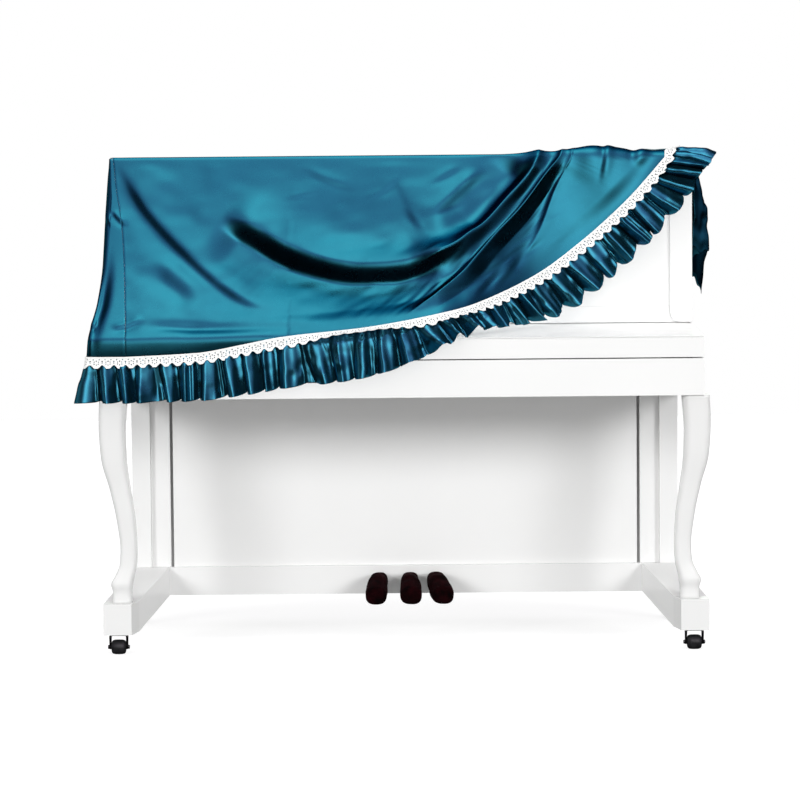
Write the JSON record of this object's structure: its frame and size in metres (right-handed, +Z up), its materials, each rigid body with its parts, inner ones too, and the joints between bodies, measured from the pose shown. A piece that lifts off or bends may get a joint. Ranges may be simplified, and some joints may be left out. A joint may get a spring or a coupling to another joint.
{
  "type": "keyboard dust cover on upright piano",
  "caption": "Satin half cover with a gathered ruffle and a lace band, draped over the lid and keyboard of a plain white upright piano on casters.",
  "frame": {"origin": "middle of the whole outline's footprint, on the floor", "axes": "+X to the right of a person at the keyboard, +Y from the keyboard to the back, +Z up"},
  "size_m": [1.6034, 0.6627, 1.264],
  "materials": {
    "satin": "lustrous blue satin",
    "lace": "white lace",
    "lacquer": "white gloss lacquer",
    "caster_wheel": "black",
    "caster_fork": "bright",
    "pedal_sock": "dark red velvet"
  },
  "bodies": {
    "root": {"lid": "lacquer", "upper_back": "lacquer", "lower_back": "lacquer", "upper_panel": "lacquer", "hinge_rail": "lacquer", "fall": "lacquer", "key_bed": "lacquer", "lower_panel": "lacquer", "base_rail": "lacquer", "case_side_left": "lacquer", "case_side_right": "lacquer", "lower_side_left": "lacquer", "lower_side_right": "lacquer", "pillar_left": "lacquer", "pillar_right": "lacquer", "cheek_left": "lacquer", "cheek_right": "lacquer", "stile_left": "lacquer", "stile_right": "lacquer", "pilaster_left": "lacquer", "pilaster_right": "lacquer", "rear_foot_left": "lacquer", "rear_foot_right": "lacquer", "toe_left": "lacquer", "toe_right": "lacquer", "leg_left": "lacquer", "leg_right": "lacquer", "caster_front_left_wheel": "caster_wheel", "caster_front_left_fork": "caster_fork", "caster_front_right_wheel": "caster_wheel", "caster_front_right_fork": "caster_fork", "caster_rear_left_wheel": "caster_wheel", "caster_rear_left_fork": "caster_fork", "caster_rear_right_wheel": "caster_wheel", "caster_rear_right_fork": "caster_fork", "pedal_sock_1": "pedal_sock", "pedal_sock_2": "pedal_sock", "pedal_sock_3": "pedal_sock", "main_panel": "satin", "left_gusset": "satin", "right_tail": "satin", "ruffle": "satin", "lace_band": "lace"}
  },
  "joints": []
}
